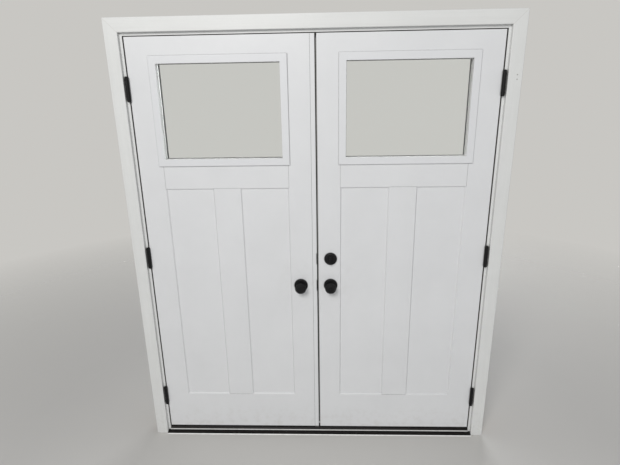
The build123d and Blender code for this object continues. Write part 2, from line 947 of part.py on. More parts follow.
def latch_bolt():
    """Bevelled latch, drawn back, with a tail bar and the yoke that the spindle works in."""
    body_end = lock_edge + tube_length
    yoke_half = spindle_size * 0.75 + clear
    yoke_near = lock_x - yoke_half - yoke_wall
    yoke_far = lock_x + yoke_half + latch_throw + yoke_wall
    low = mid_y - latch_thickness / 2
    high = mid_y + latch_thickness / 2
    with BuildPart() as bolt:
        with BuildSketch(Plane.XY.offset(knob_z - latch_height / 2)):
            with BuildLine():
                Polyline(
                    (bolt_front, low),
                    (bolt_front + latch_throw, high),
                    (body_end, high),
                    (body_end, low),
                    close=True,
                )
            make_face()
        extrude(amount=latch_height)
        with BuildSketch(Plane.XZ.offset(-(mid_y - tail_thickness / 2))):
            with Locations(((yoke_near + yoke_far) / 2, knob_z)):
                Rectangle(yoke_far - yoke_near, 2 * (yoke_half + yoke_wall))
                Rectangle(yoke_far - yoke_near - 2 * yoke_wall, 2 * yoke_half, mode=Mode.SUBTRACT)
            with Locations(((body_end + yoke_near) / 2, knob_z)):
                Rectangle(yoke_near - body_end, 2 * tail_bar)
        extrude(amount=-tail_thickness)
    return bolt


def crank_radius():
    """A quarter turn of the crank moves the deadbolt by its throw."""
    return deadbolt_throw / 2 ** 0.5


def deadbolt_bolt():
    """Square deadbolt, drawn back, with a tail bar and the fork that the crank pin drives."""
    body_end = lock_edge + tube_length
    slot_half = crank_pin / 2 + fork_play
    prong = tail_bar
    bar_low = deadbolt_z + tailpiece * 0.75 + clear
    bar_high = bar_low + prong
    fork_x = lock_x + deadbolt_throw / 2
    fork_top = deadbolt_z + crank_radius()
    with BuildPart() as bolt:
        with BuildSketch(Plane.YZ.offset(bolt_front)):
            with Locations((mid_y, deadbolt_z)):
                Rectangle(deadbolt_thickness, deadbolt_height)
        extrude(amount=body_end - bolt_front)
        chamfer(bolt.faces().sort_by(Axis.X)[0].edges(), length=1)
        with BuildSketch(Plane.XZ.offset(-(mid_y - tail_thickness / 2))):
            with Locations(((body_end + fork_x + slot_half + prong) / 2, (bar_low + bar_high) / 2)):
                Rectangle(fork_x + slot_half + prong - body_end, bar_high - bar_low)
            with Locations(*[
                (fork_x + way * (slot_half + prong / 2), (bar_low + fork_top) / 2) for way in (-1, 1)
            ]):
                Rectangle(prong, fork_top - bar_low)
        extrude(amount=-tail_thickness)
    return bolt


def thumbturn():
    """Oval thumb piece on its shaft, with the tailpiece, crank arm and crank pin behind."""
    arm_y = mid_y + tail_thickness / 2 + clear
    pin_at = (lock_x + deadbolt_throw / 2, deadbolt_z + deadbolt_throw / 2)
    with BuildPart() as turn:
        with BuildSketch(Plane.XZ.offset(lock_rose_height + clear)):
            with Locations((lock_x, deadbolt_z)):
                SlotOverall(thumb_length, thumb_width, rotation=90)
        extrude(amount=thumb_height)
        top = turn.faces().sort_by(Axis.Y)[0]
        fillet(top.edges(), radius=thumb_edge)
        with BuildSketch(Plane.XZ.offset(lock_rose_height + clear)):
            with Locations((lock_x, deadbolt_z)):
                Circle(thumb_shaft / 2)
        extrude(amount=-(lock_rose_height + clear + 2))
        with BuildSketch(Plane.XZ):
            with Locations((lock_x, deadbolt_z)):
                Rectangle(tailpiece, tailpiece)
        extrude(amount=-(leaf_thickness - 1))
        with BuildSketch(Plane.XZ.offset(-arm_y)):
            with BuildLine():
                Line((lock_x, deadbolt_z), pin_at)
            trace(line_width=tailpiece + 1)
            with Locations((lock_x, deadbolt_z)):
                Circle(tailpiece / 2 + 1)
            with Locations(pin_at):
                Circle(crank_pin / 2 + 1)
        extrude(amount=-crank_arm)
        with BuildSketch(Plane.XZ.offset(-(arm_y - tail_thickness - clear))):
            with Locations(pin_at):
                Circle(crank_pin / 2)
        extrude(amount=-(tail_thickness + clear))
    return turn


def lock_case_outside():
    """Tapered outdoor collar of the deadbolt."""
    def outline():
        radius = lock_rose_diameter / 2
        Polyline(
            face_point(-1, plug_diameter / 2, 0),
            face_point(-1, radius, 0),
            face_point(-1, radius - 4, lock_case_height),
            face_point(-1, plug_diameter / 2, lock_case_height),
            close=True,
        )
    return turned(lock_x, deadbolt_z, outline)


def key_plug():
    """Key cylinder of the deadbolt with a plain key slot in its face."""
    with BuildPart() as plug:
        with BuildSketch(Plane.XZ.offset(-leaf_thickness)):
            with Locations((lock_x, deadbolt_z)):
                Circle(plug_diameter / 2 - drop_in)
        extrude(amount=-lock_case_height)
        with BuildSketch(Plane.XZ.offset(-(leaf_thickness + lock_case_height))):
            with Locations((lock_x, deadbolt_z)):
                Rectangle(key_slot_width, key_slot_height)
        extrude(amount=key_slot_depth, mode=Mode.SUBTRACT)
    return plug


# Frame pieces
for side, name in ((-1, "left"), (1, "right")):
    save(side_jamb(side), f"jamb_{name}")
    save(casing_leg(side), f"casing_{name}")
    save(brickmould_leg(side), f"brickmould_{name}")
    save(side_weatherstrip(side), f"weatherstrip_{name}")
save(head_jamb(), "jamb_head")
save(casing_head(), "casing_head")
save(brickmould_head(), "brickmould_head")
save(head_weatherstrip(), "weatherstrip_head")
save(sill_board(sill_base_outline), "sill_base")
save(sill_board(sill_deck_outline), "sill_deck")
save(sill_board(sill_cap_outline), "sill_cap")
save(nosing(), "sill_nosing")
save(nosing_trim(), "nosing_trim")

# Hinges
group([hinge_leaf(side, True, z) for side in (-1, 1) for z in hinge_heights], "jamb_hinge_plates")
group([hinge_pin(side, z) for side in (-1, 1) for z in hinge_heights], "hinge_pins")

# Leaves
for side, name in ((-1, "left"), (1, "right")):
    save(leaf_slab(side), f"{name}_leaf")
    save(light_frame(side, 1), f"{name}_light_frame_inside")
    save(light_frame(side, -1), f"{name}_light_frame_outside")
    save(glass_panes(side), f"{name}_glass_panes")
    save(glass_ring(side, spacer_set_back, spacer_width), f"{name}_glass_spacer")
    save(door_sweep(side), f"{name}_door_sweep")
    group([hinge_leaf(side, False, z) for z in hinge_heights], f"{name}_hinge_plates")

# Meeting edge
save(astragal(), "astragal")
save(astragal_seal(), "astragal_seal")
save(strike_plate(knob_z, latch_thickness, latch_height), "latch_strike")
save(strike_plate(deadbolt_z, deadbolt_thickness, deadbolt_height), "deadbolt_strike")
save(flush_bolt(cap_height + clear, 1), "flush_bolt_bottom")
save(flush_bolt(leaf_top, -1), "flush_bolt_top")

# Knobs and locks
neck_hole = knob_neck + 2 * clear
for face, name in ((1, "inside"), (-1, "outside")):
    save(rose(-lock_x, knob_z, face, rose_diameter, rose_height, neck_hole), f"fixed_rose_{name}")
    save(knob(-lock_x, face, False), f"fixed_knob_{name}")
    save(rose(lock_x, knob_z, face, rose_diameter, rose_height, neck_hole), f"knob_rose_{name}")
    save(knob(lock_x, face, True), f"knob_{name}")
save(knob_spindle(), "knob_spindle")
save(turn_button(), "turn_button")
save(bolt_case(knob_z, latch_thickness, latch_height, tube_length), "latch_case")
save(latch_bolt(), "latch_bolt")
save(bolt_case(deadbolt_z, deadbolt_thickness, deadbolt_height, tube_length), "deadbolt_case")
save(deadbolt_bolt(), "deadbolt_bolt")
shaft_hole = thumb_shaft + 2 * clear
save(rose(lock_x, deadbolt_z, 1, lock_rose_diameter, lock_rose_height, shaft_hole), "thumbturn_rose")
save(thumbturn(), "thumbturn")
save(lock_case_outside(), "deadbolt_collar")
save(key_plug(), "deadbolt_key_plug")
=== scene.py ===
import json
from math import cos, pi, radians, sin

import bmesh
import bpy
from mathutils import Matrix, Vector


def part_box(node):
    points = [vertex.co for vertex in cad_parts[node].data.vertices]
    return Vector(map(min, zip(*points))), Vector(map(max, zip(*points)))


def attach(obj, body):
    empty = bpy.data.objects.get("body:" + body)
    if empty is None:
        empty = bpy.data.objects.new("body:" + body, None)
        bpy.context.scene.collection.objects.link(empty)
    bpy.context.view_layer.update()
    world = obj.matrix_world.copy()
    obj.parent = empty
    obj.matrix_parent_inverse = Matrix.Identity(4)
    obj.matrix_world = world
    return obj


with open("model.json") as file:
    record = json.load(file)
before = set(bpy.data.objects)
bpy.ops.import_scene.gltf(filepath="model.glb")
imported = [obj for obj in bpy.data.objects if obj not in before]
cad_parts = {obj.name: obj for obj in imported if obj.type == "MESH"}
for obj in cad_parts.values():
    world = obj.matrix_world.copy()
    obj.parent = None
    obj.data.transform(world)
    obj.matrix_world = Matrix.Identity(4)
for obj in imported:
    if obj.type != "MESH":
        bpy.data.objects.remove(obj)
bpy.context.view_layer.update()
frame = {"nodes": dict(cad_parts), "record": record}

nodes = frame["nodes"]
MILLIMETRE = 0.001

# Glazing: the spacer's bar, the sealant beside it, the beads on the glass, and the face of the
# frame round them
SPACER_WIDTH = 9.0 * MILLIMETRE
SPACER_SET_BACK = 0.5 * MILLIMETRE
ROOM_SEALANT = 0.4 * MILLIMETRE
OUTDOOR_SEALANT = 1.0 * MILLIMETRE
SEALANT_SKIN = 0.3 * MILLIMETRE
GLASS_BEAD = 0.8 * MILLIMETRE
LIGHT_FACE = 34.0 * MILLIMETRE

# Screws; those in a hinge plate are given by a share of its height and a place along Y
SCREW_RADIUS = 3.9 * MILLIMETRE
SCREW_PROUD = 0.25 * MILLIMETRE
SCREW_RECESS_DEPTH = 2.0 * MILLIMETRE
SCREW_CROSS_REACH = 0.55 * SCREW_RADIUS
SCREW_CROSS_ARM = 0.22
SCREW_TURN_DEGREES = 37
HINGE_SCREWS = (
    (0.13, 12.0 * MILLIMETRE),
    (0.37, 21.0 * MILLIMETRE),
    (0.63, 21.0 * MILLIMETRE),
    (0.87, 12.0 * MILLIMETRE),
)
STRIKE_SCREW_INSET = 6.5 * MILLIMETRE
STRIKE_SCREW_Y = 20.0 * MILLIMETRE
FACEPLATE_SCREW_INSET = 6.0 * MILLIMETRE
LOCK_BEVEL = 2.0 * MILLIMETRE

# Keyhole disc in the outdoor knob
KEY_DISC_RADIUS = 7.5 * MILLIMETRE
KEY_DISC_HEIGHT = 0.6 * MILLIMETRE
KEY_DISC_SUNK = 0.2 * MILLIMETRE
KEY_SLOT_WIDTH = 2.0 * MILLIMETRE
KEY_SLOT_HEIGHT = 8.5 * MILLIMETRE
KEY_SLOT_DEPTH = 0.9 * MILLIMETRE

# Filled nail marks in the right casing
NAIL_FROM_EDGE = 38.0 * MILLIMETRE
NAIL_HEIGHTS = (1.862, 1.843)
NAIL_MARK_RADIUS = 2.6 * MILLIMETRE
NAIL_MARK_HEIGHT = 0.3 * MILLIMETRE

# Facets and proportions of the meshes made here
DISC_SIDES = 32
DISC_RIM_BEVEL = 0.12
RECESS_TAPER = 0.7
DOME_RINGS = 4
DOME_SIDES = 20
FLOOR_SIDES = 64
SAME_POINT = 0.001 * MILLIMETRE

# Bare composite on the leaves' edge pockets, rims and the astragal's foot; the same dark on strips
# of their face at the hinge side, at the ends and beside the meeting gap is painted gap shade
SKIN_RIM = 3.6 * MILLIMETRE
SKIN_END = 1.2 * MILLIMETRE
SKIN_NOSE = 1.9 * MILLIMETRE
SKIN_THICKNESS = 0.1 * MILLIMETRE
POCKET_DEPTH = 30.0 * MILLIMETRE
RIM_DEPTH = 0.5 * MILLIMETRE
FOOT_BELOW_LEAF = 0.2 * MILLIMETRE

# Sill: the painted highlight line along the deck's front, and the ribs on its outdoor slope
SILL_LINE = 6.0 * MILLIMETRE
SILL_FRONT = 0.1 * MILLIMETRE
RIB_PITCH = 6.0 * MILLIMETRE
RIB_SET_BACK = 8.0 * MILLIMETRE

# Mitre crack: its half-width where it is full and where it has faded, and its strength
MITRE_CRACK = 0.6 * MILLIMETRE
MITRE_SOFT = 1.4 * MILLIMETRE
MITRE_STRENGTH = 0.40

# The part of a face's normal along an axis: over the first where the face looks that way,
# under the others where it doesn't
SQUARE_ON = 0.9
SIDEWAYS = 0.75
EDGE_ON = 0.5

# How far from a plane a point still counts as on it
FACE_BAND = 1.0 * MILLIMETRE

# Painted shade in gaps and corners: how far it looks for open space, and the openness from full
# shade to none
GAP_REACH = 12.0 * MILLIMETRE
GAP_OPENNESS = (0.15, 0.42)
CORNER_REACH = 5.0 * MILLIMETRE
CORNER_OPENNESS = (0.40, 0.85)

# Wear: heights from full dirt to none on leaves and frame, the handled paint round a knob, and
# rubbed edges, with the cosine of their rounded normal on a flat face and on an edge
LEAF_FOOT_DIRT = (0.040, 0.200)
FRAME_FOOT_DIRT = (0.0, 0.22)
AROUND_KNOB = 45.0 * MILLIMETRE
RUBBED_EDGE = 0.8 * MILLIMETRE
FLAT_TO_EDGE = (0.97, 0.80)

# Rays for each of the two surface probes
BEVEL_RAYS = 4
OPENNESS_RAYS = 6

# The range in which most of a noise lies, and a narrower one for clear patches
NOISE_RANGE = (0.3, 0.7)
NOISE_MIDDLE = (0.35, 0.65)

# Brush strokes and grain, in features a metre along X, Y and Z
ALONG_Z = (260, 260, 5)
ALONG_X = (5, 260, 260)

# Camera, solved from the corners of the leaves in the photograph
IMAGE_WIDTH = 620
FOCAL_PIXELS = 450.0
CAMERA_PLACE = Vector((0.047, -2.076, 1.787))
CAMERA_PAN = radians(-1.98)
CAMERA_TILT = radians(16.83)
CAMERA_ROLL = radians(-0.94)
SENSOR_WIDTH = 36.0

# Stage, in metres, and the world's strength as a lamp
FLOOR_RADIUS = 4.8
FLOOR_FADE = (1.6, 4.6)
FLOOR_DROP = 0.5 * MILLIMETRE
SURROUND_LIGHT = 0.25
SURROUND_TINT = (0.95, 0.97, 1.0)

# Colours, linear
LEAF_WHITE = (0.700, 0.705, 0.715)
FRAME_WHITE = (0.690, 0.695, 0.690)
CASING_WHITE = (0.705, 0.710, 0.700)
LIGHT_FRAME_WHITE = (0.690, 0.696, 0.710)
# Painted shade on the walls of the light frames beside the glass
REVEAL_SHADE = (0.630, 0.630, 0.625)
GRIME = (0.42, 0.39, 0.34)
STREAK = (0.52, 0.52, 0.50)
RAW_PINE = (0.60, 0.45, 0.29)
PINE_LATEWOOD = (0.44, 0.27, 0.14)
NAIL_FILLER = (0.36, 0.35, 0.32)
# Painted shade for gaps, corners and recesses
CREVICE_SHADE = (0.075, 0.068, 0.060)
MATT_BLACK = (0.0050, 0.0050, 0.0053)
BLACK_SPECK = (0.011, 0.011, 0.012)
RUBBED_METAL = (0.07, 0.067, 0.063)
# Bare composite on the rims, and painted gap shade on the face strips beside the gaps
COMPOSITE_AND_GAP_SHADE = (0.030, 0.028, 0.026)
EDGE_FLECK = (0.075, 0.070, 0.064)
SATIN_STEEL = (0.50, 0.50, 0.49)
SPACER_ALUMINIUM = (0.86, 0.86, 0.85)
MILL_ALUMINIUM = (0.62, 0.62, 0.61)
# Lighter copy of the mill aluminium: painted highlight
ALUMINIUM_HIGHLIGHT = (0.84, 0.84, 0.83)
VINYL_BLACK = (0.008, 0.008, 0.008)
SILL_BROWN = (0.0080, 0.0070, 0.0065)
BRONZE_DARK = (0.0060, 0.0056, 0.0052)
FOAM_WHITE = (0.60, 0.60, 0.57)
FOAM_PORE = (0.42, 0.42, 0.40)
GLASS_TINT = (0.985, 0.995, 0.990)
SEALANT_BLACK = (0.010, 0.010, 0.011)
DUST = (0.33, 0.30, 0.26)
FLOOR_PALE = (0.60, 0.59, 0.57)
BACKDROP_PALE = (0.58, 0.57, 0.545)


def face_of(node, axis, end):
    """Coordinate of a node's lowest (0) or highest (1) face along an axis."""
    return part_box(node)[end][axis]


def middle_of(node):
    low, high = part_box(node)
    return (low + high) / 2


def scaled(parts, share):
    return tuple(part * share for part in parts)


# Places read from the CAD nodes; the leaves are alike on both sides of X = 0
LEAF_LOW, LEAF_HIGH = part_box("right_leaf")
LEAF_MIDDLE_X = (LEAF_LOW.x + LEAF_HIGH.x) / 2
LEAF_HALF_WIDTH = (LEAF_HIGH.x - LEAF_LOW.x) / 2
LEAF_MIDDLE_Z = (LEAF_LOW.z + LEAF_HIGH.z) / 2
LEAF_HALF_HEIGHT = (LEAF_HIGH.z - LEAF_LOW.z) / 2
MEETING_GAP_X = (face_of("astragal", 0, 1) + LEAF_LOW.x) / 2
MEETING_NOSE = (LEAF_LOW.x - face_of("astragal", 0, 1)) / 2 + SKIN_NOSE
JAMB_FACE = face_of("jamb_hinge_plates", 0, 1)


# Camera

def add_camera():
    forward = Vector((
        sin(CAMERA_PAN) * cos(CAMERA_TILT),
        cos(CAMERA_PAN) * cos(CAMERA_TILT),
        -sin(CAMERA_TILT),
    ))
    level = Vector((cos(CAMERA_PAN), -sin(CAMERA_PAN), 0))
    raised = level.cross(forward)
    right = cos(CAMERA_ROLL) * level + sin(CAMERA_ROLL) * raised
    up = right.cross(forward)
    data = bpy.data.cameras.new("camera")
    data.sensor_width = SENSOR_WIDTH
    data.lens = FOCAL_PIXELS / IMAGE_WIDTH * SENSOR_WIDTH
    camera = bpy.data.objects.new("camera", data)
    turn = Matrix((right, up, -forward)).transposed()
    camera.matrix_world = Matrix.Translation(CAMERA_PLACE) @ turn.to_4x4()
    bpy.context.scene.collection.objects.link(camera)
    bpy.context.scene.camera = camera


# Material building

class Finish:
    """One material with short calls for its nodes; coordinates are the model's, in metres.

    A mask is a value from 0 to 1 over the surface.
    """

    def __init__(self, name):
        self.material = bpy.data.materials.new(name)
        self.material.use_nodes = True
        self.tree = self.material.node_tree
        self.tree.nodes.clear()
        self.output = self.add("OutputMaterial")
        self.shader = self.add("BsdfPrincipled")
        self.show(self.shader.outputs["BSDF"])
        self.place = self.add("TexCoord").outputs["Object"]

    def add(self, kind):
        return self.tree.nodes.new("ShaderNode" + kind)

    def show(self, socket):
        self.tree.links.new(socket, self.output.inputs["Surface"])

    def feed(self, socket, value):
        """Link a socket to a socket, or set its value."""
        if isinstance(value, bpy.types.NodeSocket):
            self.tree.links.new(value, socket)
        elif socket.type == "RGBA" and len(value) == 3:
            socket.default_value = (*value, 1)
        else:
            socket.default_value = value

    def set(self, name, value):
        self.feed(self.shader.inputs[name], value)

    def math(self, operation, first, second=0.0, clamp=False):
        node = self.add("Math")
        node.operation = operation
        node.use_clamp = clamp
        self.feed(node.inputs[0], first)
        self.feed(node.inputs[1], second)
        return node.outputs[0]

    def plus(self, first, second):
        return self.math("ADD", first, second)

    def minus(self, first, second):
        return self.math("SUBTRACT", first, second)

    def times(self, first, second):
        """Product: a mask times a share, or the overlap of two masks."""
        return self.math("MULTIPLY", first, second)

    def either(self, first, second):
        """The stronger of two masks."""
        return self.math("MAXIMUM", first, second)

    def unsigned(self, value):
        """A value without its sign."""
        return self.math("ABSOLUTE", value)

    def apart(self, value, centre):
        """How far a value is from a centre, either way."""
        return self.unsigned(self.minus(value, centre))

    def below(self, value, limit):
        """1 where a value is under a limit, else 0."""
        return self.math("LESS_THAN", value, limit)

    def above(self, value, limit):
        """1 where a value is over a limit, else 0."""
        return self.math("GREATER_THAN", value, limit)

    def axis(self, name):
        """X, Y or Z of the point being shaded."""
        node = self.add("SeparateXYZ")
        self.feed(node.inputs[0], self.place)
        return node.outputs[name]

    def facing(self, name):
        """X, Y or Z of the surface's own normal in the model's frame."""
        turned = self.add("VectorTransform")
        turned.vector_type = "NORMAL"
        turned.convert_from = "WORLD"
        turned.convert_to = "OBJECT"
        self.feed(turned.inputs[0], self.add("NewGeometry").outputs["True Normal"])
        node = self.add("SeparateXYZ")
        self.feed(node.inputs[0], turned.outputs[0])
        return node.outputs[name]

    def stretched(self, scale):
        """The model's coordinates times a scale for each axis, in features a metre."""
        node = self.add("VectorMath")
        node.operation = "MULTIPLY"
        self.feed(node.inputs[0], self.place)
        node.inputs[1].default_value = scale
        return node.outputs[0]

    def noise(self, scale, detail=2.0, roughness=0.5):
        """Noise from 0 to 1; scale is one number or one for each axis, in features a metre."""
        scale = (scale,) * 3 if isinstance(scale, (int, float)) else scale
        node = self.add("TexNoise")
        self.feed(node.inputs["Vector"], self.stretched(scale))
        node.inputs["Scale"].default_value = 1.0
        node.inputs["Detail"].default_value = detail
        node.inputs["Roughness"].default_value = roughness
        node.inputs["Distortion"].default_value = 0.0
        return node.outputs["Fac"]

    def between(self, value, low, high, out_low=0.0, out_high=1.0):
        """Map low..high to out_low..out_high, held at the ends."""
        node = self.add("MapRange")
        self.feed(node.inputs["Value"], value)
        node.inputs["From Min"].default_value = low
        node.inputs["From Max"].default_value = high
        node.inputs["To Min"].default_value = out_low
        node.inputs["To Max"].default_value = out_high
        return node.outputs[0]

    def spread(self, noise, low, high):
        """Values from low to high that follow a noise."""
        return self.between(noise, *NOISE_RANGE, low, high)

    def spots(self, noise, start, full, amount=1.0):
        """Spots that begin where a noise passes start and reach their amount at full."""
        return self.between(noise, start, full, 0.0, amount)

    def mix(self, factor, first, second):
        node = self.add("Mix")
        node.data_type = "RGBA"
        self.feed(node.inputs[0], factor)
        self.feed(node.inputs[6], first)
        self.feed(node.inputs[7], second)
        return node.outputs[2]

    def near(self, point, radius, soft):
        """1 within a radius of a point, falling to 0 over a soft edge."""
        node = self.add("VectorMath")
        node.operation = "DISTANCE"
        self.feed(node.inputs[0], self.place)
        node.inputs[1].default_value = point
        return self.between(node.outputs["Value"], radius, radius + soft, 1.0, 0.0)

    def edges(self, width):
        """1 on edges narrower than a width, 0 on flat faces."""
        bevel = self.add("Bevel")
        bevel.samples = BEVEL_RAYS
        bevel.inputs["Radius"].default_value = width
        dot = self.add("VectorMath")
        dot.operation = "DOT_PRODUCT"
        self.feed(dot.inputs[0], bevel.outputs[0])
        self.feed(dot.inputs[1], self.add("NewGeometry").outputs["Normal"])
        return self.between(dot.outputs["Value"], *FLAT_TO_EDGE)

    def openness(self, reach):
        """Share of open space within a reach: 1 on a flat face, a half in a square corner."""
        node = self.add("AmbientOcclusion")
        node.samples = OPENNESS_RAYS
        node.inputs["Distance"].default_value = reach
        return node.outputs["AO"]

    def crevice_shaded(self, colour, corners):
        """A colour darkened by painted shade deep in gaps and, by a share from 0 to 1, in corners.
        """
        gap = self.between(self.openness(GAP_REACH), *GAP_OPENNESS, 1.0, 0.0)
        corner = self.between(self.openness(CORNER_REACH), *CORNER_OPENNESS, corners, 0.0)
        return self.mix(self.either(gap, corner), colour, CREVICE_SHADE)

    def relief(self, height, depth, under=None):
        """Bump of a height from 0 to 1 over a depth in metres."""
        node = self.add("Bump")
        node.inputs["Strength"].default_value = 1.0
        node.inputs["Distance"].default_value = depth
        self.feed(node.inputs["Height"], height)
        if under is not None:
            self.feed(node.inputs["Normal"], under)
        return node.outputs[0]


# Paints

def cloudy(finish, colour, amount):
    """A colour with soft light and dark patches."""
    patches = finish.noise(3.5, detail=4, roughness=0.6)
    return finish.mix(finish.between(patches, *NOISE_MIDDLE), scaled(colour, 1 - amount), colour)


def leaf_paint():
    """Satin enamel on a smooth moulded skin: fine orange peel, handled round the knobs."""
    finish = Finish("leaf_paint")
    base = cloudy(finish, LEAF_WHITE, 0.035)
    smudges = finish.noise(26, detail=5, roughness=0.65)
    handled_right = finish.near(tuple(middle_of("knob_inside")), AROUND_KNOB, soft=0.16)
    handled_left = finish.near(tuple(middle_of("fixed_knob_inside")), AROUND_KNOB, soft=0.14)
    handled = finish.either(handled_right, handled_left)
    low_down = finish.between(finish.axis("Z"), *LEAF_FOOT_DIRT, 1.0, 0.0)
    dirt = finish.either(finish.times(handled, 0.35), low_down)
    dirt = finish.times(dirt, finish.spots(smudges, start=0.48, full=0.75, amount=0.30))
    flecks = finish.noise((90, 90, 14), detail=5, roughness=0.75)
    bare = finish.mix(finish.spots(flecks, start=0.45, full=0.70), COMPOSITE_AND_GAP_SHADE, EDGE_FLECK)
    # Bare composite rims, with painted gap shade on strips of the face beside the gaps
    edge = bare_edge_and_gap_shade(finish)
    # Painted shade in gaps and in the corners of the panels and the light frames
    painted = finish.crevice_shaded(finish.mix(dirt, base, GRIME), corners=0.7)
    finish.set("Base Color", finish.mix(edge, painted, bare))
    gloss = finish.spread(finish.noise(9, detail=3), 0.36, 0.47)
    finish.set("Roughness", finish.plus(gloss, finish.times(edge, 0.25)))
    peel = finish.noise(620, detail=1)
    finish.set("Normal", finish.relief(peel, 0.035 * MILLIMETRE))
    finish.set("Specular IOR Level", 0.5)
    return finish.material


def bare_edge_and_gap_shade(finish):
    """1 on bare composite rims, pockets and astragal foot, and as painted gap shade on face strips
    and the astragal's nose; 0 on paint.
    """
    sideways = finish.below(finish.unsigned(finish.facing("Y")), SIDEWAYS)
    from_middle = finish.unsigned(finish.axis("X"))
    across = finish.apart(from_middle, LEAF_MIDDLE_X)
    at_side = finish.above(across, LEAF_HALF_WIDTH - POCKET_DEPTH)
    up = finish.apart(finish.axis("Z"), LEAF_MIDDLE_Z)
    at_end = finish.above(up, LEAF_HALF_HEIGHT - RIM_DEPTH)
    behind_skin = finish.above(finish.axis("Y"), SKIN_THICKNESS)
    rim = finish.times(finish.times(sideways, finish.either(at_side, at_end)), behind_skin)
    # Strips of face beside the hinge gap and at the ends, and the astragal's nose: painted gap
    # shade
    side_gap_shade = finish.above(from_middle, LEAF_HIGH.x - SKIN_RIM)
    end_gap_shade = finish.above(up, LEAF_HALF_HEIGHT - SKIN_END)
    rim = finish.either(rim, finish.either(side_gap_shade, end_gap_shade))
    nose = finish.below(finish.apart(finish.axis("X"), MEETING_GAP_X), MEETING_NOSE)
    astragal_foot = finish.below(finish.axis("Z"), LEAF_LOW.z - FOOT_BELOW_LEAF)
    return finish.either(finish.either(rim, nose), astragal_foot)


def brushed_paint(name, colour, strokes, raw_faces):
    """Brushed satin paint on wood. raw_faces says which hidden faces show bare pine."""
    finish = Finish(name)
    base = cloudy(finish, colour, 0.04)
    fine = finish.noise(strokes, detail=3, roughness=0.6)
    broad = finish.noise(scaled(strokes, 0.25), detail=2)
    bristles = finish.plus(finish.times(fine, 0.6), finish.times(broad, 0.4))
    foot_dirt = finish.between(finish.axis("Z"), *FRAME_FOOT_DIRT, 1.0, 0.0)
    scuffs = finish.noise(60, detail=5, roughness=0.7)
    scuffs = finish.spots(scuffs, start=0.50, full=0.72, amount=0.38)
    worn_thin = finish.between(bristles, 0.38, 0.62, 0.10, 0.0)
    painted = finish.mix(worn_thin, base, STREAK)
    stains = finish.noise(scaled(strokes, 0.05), detail=4)
    stains = finish.spots(stains, start=0.55, full=0.75, amount=0.16)
    painted = finish.mix(stains, painted, STREAK)
    painted = finish.mix(finish.times(foot_dirt, scuffs), painted, GRIME)
    painted = finish.mix(mitre_line(finish), painted, GRIME)
    # Painted shade in gaps, and a little in corners
    painted = finish.crevice_shaded(painted, corners=0.1)
    bare = raw_faces(finish)
    finish.set("Base Color", finish.mix(bare, painted, pine(finish, strokes)))
    gloss = finish.spread(broad, 0.38, 0.50)
    finish.set("Roughness", finish.plus(gloss, finish.times(bare, 0.3)))
    finish.set("Normal", finish.relief(bristles, 0.09 * MILLIMETRE))
    return finish.material


def pine(finish, strokes):
    """Planed softwood with long growth rings and a thin wash of overspray."""
    warp = finish.noise(scaled(strokes, 0.10), detail=2)
    rings = finish.math("SINE", finish.times(warp, 70))
    fibres = finish.noise(strokes, detail=4, roughness=0.7)
    grain = finish.times(finish.between(rings, -0.4, 1.0), finish.spread(fibres, 0.0, 1.0))
    wood = finish.mix(grain, RAW_PINE, PINE_LATEWOOD)
    overspray = finish.noise(14, detail=5, roughness=0.7)
    overspray = finish.spots(overspray, start=0.58, full=0.68, amount=0.7)
    return finish.mix(overspray, wood, FRAME_WHITE)


def mitre_line(finish):
    """A hair crack along the two casing mitres, at full strength on the line."""
    low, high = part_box("casing_head")
    corner_x = high.x - (high.z - low.z)
    across = finish.minus(finish.unsigned(finish.axis("X")), corner_x)
    above = finish.minus(finish.axis("Z"), low.z)
    line = finish.between(finish.apart(across, above), MITRE_CRACK, MITRE_SOFT, MITRE_STRENGTH, 0.0)
    return finish.times(line, finish.above(above, 0.0))


def raw_backs(finish):
    """The faces that stand against the wall opening, 1 where they are bare."""
    jamb_back = face_of("jamb_right", 0, 1) - FACE_BAND
    outward = finish.above(finish.unsigned(finish.facing("X")), SQUARE_ON)
    beyond = finish.above(finish.unsigned(finish.axis("X")), jamb_back)
    in_wall = finish.below(finish.unsigned(finish.axis("X")), jamb_back + 2 * FACE_BAND)
    sides = finish.times(finish.times(outward, beyond), in_wall)
    head_top = face_of("jamb_head", 2, 1) - FACE_BAND
    upward = finish.above(finish.facing("Z"), SQUARE_ON)
    over = finish.above(finish.axis("Z"), head_top)
    low_enough = finish.below(finish.axis("Z"), head_top + 2 * FACE_BAND)
    top = finish.times(finish.times(upward, over), low_enough)
    return finish.either(sides, top)


def raw_wall_side(finish):
    """Casing backs, which face outdoors."""
    return finish.above(finish.facing("Y"), SQUARE_ON)


def raw_room_side(finish):
    """Brickmould backs, which face the room."""
    return finish.below(finish.facing("Y"), -SQUARE_ON)


def reveal_walls(finish):
    """1 on the walls of a light frame's opening, which face across the glass."""
    low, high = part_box("right_light_frame_outside")
    middle, half = (low + high) / 2, (high - low) / 2
    reveal = finish.below(finish.unsigned(finish.facing("Y")), EDGE_ON)
    for name, centre, reach in (("X", middle.x, half.x), ("Z", middle.z, half.z)):
        apart = finish.apart(finish.unsigned(finish.axis(name)), centre)
        reveal = finish.times(reveal, finish.below(apart, reach - LIGHT_FACE / 2))
    return reveal


